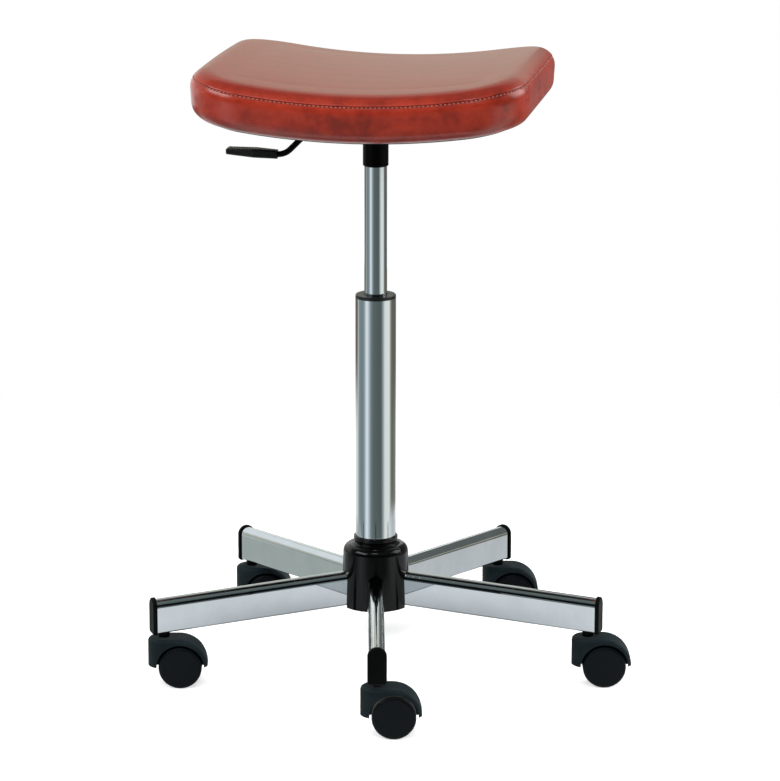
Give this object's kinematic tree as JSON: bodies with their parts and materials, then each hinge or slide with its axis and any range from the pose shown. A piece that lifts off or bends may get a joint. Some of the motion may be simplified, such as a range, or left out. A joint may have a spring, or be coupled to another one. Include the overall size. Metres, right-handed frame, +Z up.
{
  "type": "medical stool",
  "caption": "Height-adjustable clinic stool: saddle-bent upholstered seat on a gas-lift column with a release lever, over a star base of tube arms on hooded swivel casters.",
  "frame": {"origin": "on the floor, under the axis of the column", "axes": "+Z up along the column; the sitter faces -Y; +X to the sitter's left, so the release lever points to -X"},
  "size_m": [0.588, 0.5646, 0.7698],
  "materials": {
    "leatherette": "gloss",
    "plywood": "satin",
    "dust_cloth": "matte",
    "zinc_steel": "satin",
    "pad_rubber": "matte",
    "black_steel": "satin",
    "grip_plastic": "satin",
    "chrome": "polished",
    "ground_steel": "polished",
    "guide_plastic": "satin",
    "hub_plastic": "gloss",
    "cap_plastic": "satin",
    "hood_plastic": "satin",
    "wheel_plastic": "satin"
  },
  "bodies": {
    "base": {"outer_tube": "chrome", "guide_sleeve": "guide_plastic", "bearing_lower_race": "ground_steel", "bearing_balls": "ground_steel", "bearing_cage": "guide_plastic", "hub_core": "black_steel", "hub_cover": "hub_plastic", "stem_sockets": "guide_plastic", "caster_stems": "black_steel", "arm_1": "chrome", "arm_2": "chrome", "arm_3": "chrome", "arm_4": "chrome", "arm_5": "chrome", "end_cap_1": "cap_plastic", "end_cap_2": "cap_plastic", "end_cap_3": "cap_plastic", "end_cap_4": "cap_plastic", "end_cap_5": "cap_plastic"},
    "spindle": {"piston_rod": "ground_steel", "piston": "ground_steel", "bearing_upper_race": "ground_steel", "rubber_buffer": "pad_rubber", "rod_clip": "zinc_steel"},
    "seat": {"seat_cushion": "leatherette", "seat_board": "plywood", "underside_cover": "dust_cloth", "tee_nuts": "zinc_steel", "spacer_pads": "pad_rubber", "plate_bolts": "zinc_steel", "mechanism_box": "black_steel", "taper_socket": "black_steel", "pivot_bracket": "black_steel", "pivot_pin": "zinc_steel", "gas_cylinder": "chrome", "rod_guide": "guide_plastic"},
    "lever": {"release_lever": "black_steel", "lever_grip": "grip_plastic"},
    "valve_pin": {"release_pin": "ground_steel"},
    "caster_1": {"caster_1_hood": "hood_plastic", "caster_1_axle": "zinc_steel"},
    "caster_1_wheel_a": {"caster_1_wheel_a": "wheel_plastic"},
    "caster_1_wheel_b": {"caster_1_wheel_b": "wheel_plastic"},
    "caster_2": {"caster_2_hood": "hood_plastic", "caster_2_axle": "zinc_steel"},
    "caster_2_wheel_a": {"caster_2_wheel_a": "wheel_plastic"},
    "caster_2_wheel_b": {"caster_2_wheel_b": "wheel_plastic"},
    "caster_3": {"caster_3_hood": "hood_plastic", "caster_3_axle": "zinc_steel"},
    "caster_3_wheel_a": {"caster_3_wheel_a": "wheel_plastic"},
    "caster_3_wheel_b": {"caster_3_wheel_b": "wheel_plastic"},
    "caster_4": {"caster_4_hood": "hood_plastic", "caster_4_axle": "zinc_steel"},
    "caster_4_wheel_a": {"caster_4_wheel_a": "wheel_plastic"},
    "caster_4_wheel_b": {"caster_4_wheel_b": "wheel_plastic"},
    "caster_5": {"caster_5_hood": "hood_plastic", "caster_5_axle": "zinc_steel"},
    "caster_5_wheel_a": {"caster_5_wheel_a": "wheel_plastic"},
    "caster_5_wheel_b": {"caster_5_wheel_b": "wheel_plastic"}
  },
  "joints": [
    {"name": "seat_swivel", "type": "hinge", "parent": "base", "child": "spindle", "pos_m": [0, 0, 0.0845], "axis": [0, 0, 1], "continuous": true},
    {"name": "seat_height", "type": "slide", "parent": "spindle", "child": "seat", "axis": [0, 0, 1], "range_m": [-0.15, 0.11]},
    {"name": "lever_lift", "type": "hinge", "parent": "seat", "child": "lever", "pos_m": [-0.034, 0, 0.681], "axis": [0, 1, 0], "range_deg": [0, 6], "stiffness_Nm_per_rad": 4, "springref_deg": -5.73},
    {"name": "pin_press", "type": "slide", "parent": "seat", "child": "valve_pin", "axis": [0, 0, -1], "range_m": [0, 0.0036]},
    {"name": "caster_1_swivel", "type": "hinge", "parent": "base", "child": "caster_1", "pos_m": [0.04959, -0.27019, 0.062], "axis": [0, 0, 1], "continuous": true},
    {"name": "caster_1_wheel_a_roll", "type": "hinge", "parent": "caster_1", "child": "caster_1_wheel_a", "pos_m": [0.06928, -0.26671, 0.0266], "axis": [-0.1736, 0.9848, 0], "continuous": true},
    {"name": "caster_1_wheel_b_roll", "type": "hinge", "parent": "caster_1", "child": "caster_1_wheel_b", "pos_m": [0.06928, -0.26671, 0.0266], "axis": [-0.1736, 0.9848, 0], "continuous": true},
    {"name": "caster_2_swivel", "type": "hinge", "parent": "base", "child": "caster_2", "pos_m": [0.27229, -0.03633, 0.062], "axis": [0, 0, 1], "continuous": true},
    {"name": "caster_2_wheel_a_roll", "type": "hinge", "parent": "caster_2", "child": "caster_2_wheel_a", "pos_m": [0.29198, -0.03286, 0.0266], "axis": [-0.1736, 0.9848, 0], "continuous": true},
    {"name": "caster_2_wheel_b_roll", "type": "hinge", "parent": "caster_2", "child": "caster_2_wheel_b", "pos_m": [0.29198, -0.03286, 0.0266], "axis": [-0.1736, 0.9848, 0], "continuous": true},
    {"name": "caster_3_swivel", "type": "hinge", "parent": "base", "child": "caster_3", "pos_m": [0.11869, 0.24773, 0.062], "axis": [0, 0, 1], "continuous": true},
    {"name": "caster_3_wheel_a_roll", "type": "hinge", "parent": "caster_3", "child": "caster_3_wheel_a", "pos_m": [0.13839, 0.25121, 0.0266], "axis": [-0.1736, 0.9848, 0], "continuous": true},
    {"name": "caster_3_wheel_b_roll", "type": "hinge", "parent": "caster_3", "child": "caster_3_wheel_b", "pos_m": [0.13839, 0.25121, 0.0266], "axis": [-0.1736, 0.9848, 0], "continuous": true},
    {"name": "caster_4_swivel", "type": "hinge", "parent": "base", "child": "caster_4", "pos_m": [-0.19893, 0.18944, 0.062], "axis": [0, 0, 1], "continuous": true},
    {"name": "caster_4_wheel_a_roll", "type": "hinge", "parent": "caster_4", "child": "caster_4_wheel_a", "pos_m": [-0.17923, 0.19291, 0.0266], "axis": [-0.1736, 0.9848, 0], "continuous": true},
    {"name": "caster_4_wheel_b_roll", "type": "hinge", "parent": "caster_4", "child": "caster_4_wheel_b", "pos_m": [-0.17923, 0.19291, 0.0266], "axis": [-0.1736, 0.9848, 0], "continuous": true},
    {"name": "caster_5_swivel", "type": "hinge", "parent": "base", "child": "caster_5", "pos_m": [-0.24164, -0.13065, 0.062], "axis": [0, 0, 1], "continuous": true},
    {"name": "caster_5_wheel_a_roll", "type": "hinge", "parent": "caster_5", "child": "caster_5_wheel_a", "pos_m": [-0.22194, -0.12718, 0.0266], "axis": [-0.1736, 0.9848, 0], "continuous": true},
    {"name": "caster_5_wheel_b_roll", "type": "hinge", "parent": "caster_5", "child": "caster_5_wheel_b", "pos_m": [-0.22194, -0.12718, 0.0266], "axis": [-0.1736, 0.9848, 0], "continuous": true}
  ],
  "couplings": [
    {"joint": "pin_press", "follows": "lever_lift", "m_per_rad": 0.034}
  ]
}
